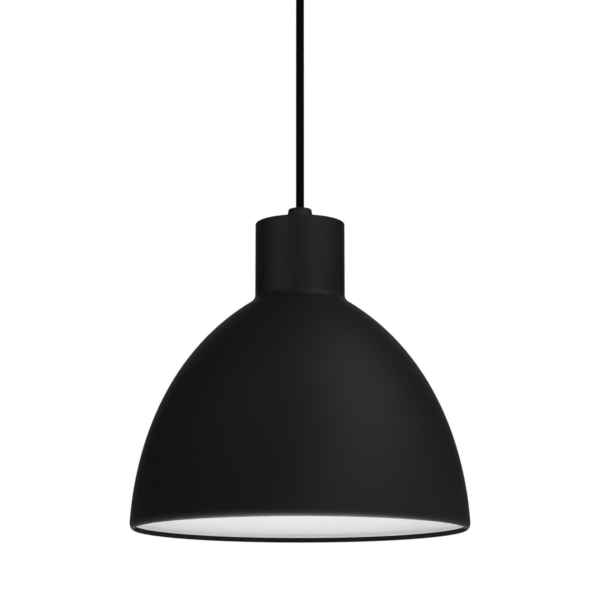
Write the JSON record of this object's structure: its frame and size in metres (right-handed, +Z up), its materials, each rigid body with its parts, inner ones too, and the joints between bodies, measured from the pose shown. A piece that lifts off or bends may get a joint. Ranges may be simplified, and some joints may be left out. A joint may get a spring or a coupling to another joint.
{
  "type": "pendant ceiling light",
  "caption": "Pendant light: black spun dome shade with a straight neck and white inside, hung on a braided cord from a ceiling cup, with lampholder and screw-in bulb.",
  "frame": {"origin": "centre of the mounting bracket's top face, where it meets the ceiling", "axes": "+Z up into the ceiling, +X along the bracket's two screw slots"},
  "size_m": [0.25, 0.25, 0.4641],
  "materials": {
    "black_powder_coat": "satin black powder coat outside and round the rolled bead, satin white inside the shade",
    "black_nylon": "fine-textured moulded nylon",
    "black_rubber": "soft matt rubber",
    "black_braid": "tight textile braid",
    "zinc_plated_steel": "bright zinc plate",
    "brass": "turned and pressed brass",
    "white_nylon": "satin",
    "live_insulation": "satin",
    "neutral_insulation": "satin",
    "earth_insulation": "satin, green with yellow stripes",
    "holder_plastic": "moulded thermoset",
    "ceramic": "unglazed",
    "solder_alloy": "dull",
    "black_glass": "black glass insulator",
    "nickel_plate": "nickel-plated",
    "white_plastic": "satin",
    "opal_diffuser": "opal",
    "led_aluminium": "white solder-masked aluminium",
    "led_phosphor": "phosphor",
    "circuit_board": "solder mask",
    "component_plastic": "moulded"
  },
  "bodies": {
    "ceiling_bracket": {"mounting_bracket": "zinc_plated_steel", "bracket_earth_screw": "brass"},
    "canopy": {"canopy_cup": "black_powder_coat", "canopy_side_screws": "black_powder_coat", "canopy_side_nuts": "zinc_plated_steel", "ceiling_grip": "black_nylon", "ceiling_grip_washer": "zinc_plated_steel", "ceiling_grip_locknut": "brass", "ceiling_grip_screw": "zinc_plated_steel", "terminal_block": "white_nylon", "terminal_tubes": "brass", "terminal_clamp_screws": "zinc_plated_steel", "terminal_block_screw": "zinc_plated_steel", "canopy_earth_tag": "brass", "canopy_earth_screw": "zinc_plated_steel", "canopy_earth_lead": "earth_insulation", "cord_tail": "black_braid", "upper_live_core": "live_insulation", "upper_neutral_core": "neutral_insulation", "upper_earth_core": "earth_insulation"},
    "cord_bend": {"cord_bend": "black_braid"},
    "cord": {"cord": "black_braid"},
    "lamp": {"cord_end": "black_braid", "cord_gland": "black_nylon", "gland_bush": "black_rubber", "gland_washer": "black_rubber", "threaded_nipple": "zinc_plated_steel", "shade": "black_powder_coat", "shade_washer": "zinc_plated_steel", "shade_earth_tag": "brass", "nipple_locknut": "brass", "lower_live_core": "live_insulation", "lower_neutral_core": "neutral_insulation", "lower_earth_core": "earth_insulation", "holder_cap": "holder_plastic", "holder_grub_screw": "zinc_plated_steel", "holder_body": "holder_plastic", "holder_core": "ceramic", "holder_terminal_screws": "brass", "holder_contact": "brass", "holder_screw_shell": "brass"},
    "bulb_tip": {"bulb_tip": "solder_alloy"},
    "bulb": {"bulb_insulator": "black_glass", "bulb_screw_cap": "nickel_plate", "bulb_housing": "white_plastic", "bulb_globe": "opal_diffuser", "led_plate": "led_aluminium", "led_chips": "led_phosphor", "driver_board": "circuit_board", "driver_parts": "component_plastic"}
  },
  "joints": [
    {"name": "canopy_drop", "type": "slide", "parent": "ceiling_bracket", "child": "canopy", "axis": [0, 0, -1], "range_m": [0, 0.04]},
    {"name": "swing_x", "type": "hinge", "parent": "canopy", "child": "cord_bend", "pos_m": [0, 0, -0.0435], "axis": [1, 0, 0], "range_deg": [-20, 20]},
    {"name": "swing_y", "type": "hinge", "parent": "cord_bend", "child": "cord", "pos_m": [0, 0, -0.0435], "axis": [0, 1, 0], "range_deg": [-20, 20]},
    {"name": "shade_twist", "type": "hinge", "parent": "cord", "child": "lamp", "pos_m": [0, 0, -0.2203], "axis": [0, 0, 1], "range_deg": [-90, 90]},
    {"name": "bulb_travel", "type": "slide", "parent": "lamp", "child": "bulb_tip", "axis": [0, 0, -1], "range_m": [0, 0.0182]},
    {"name": "bulb_turn", "type": "hinge", "parent": "bulb_tip", "child": "bulb", "pos_m": [0, 0, -0.28], "axis": [0, 0, -1], "range_deg": [0, 1800]}
  ],
  "couplings": [
    {"joint": "bulb_travel", "follows": "bulb_turn", "m_per_rad": 0.00057757}
  ]
}
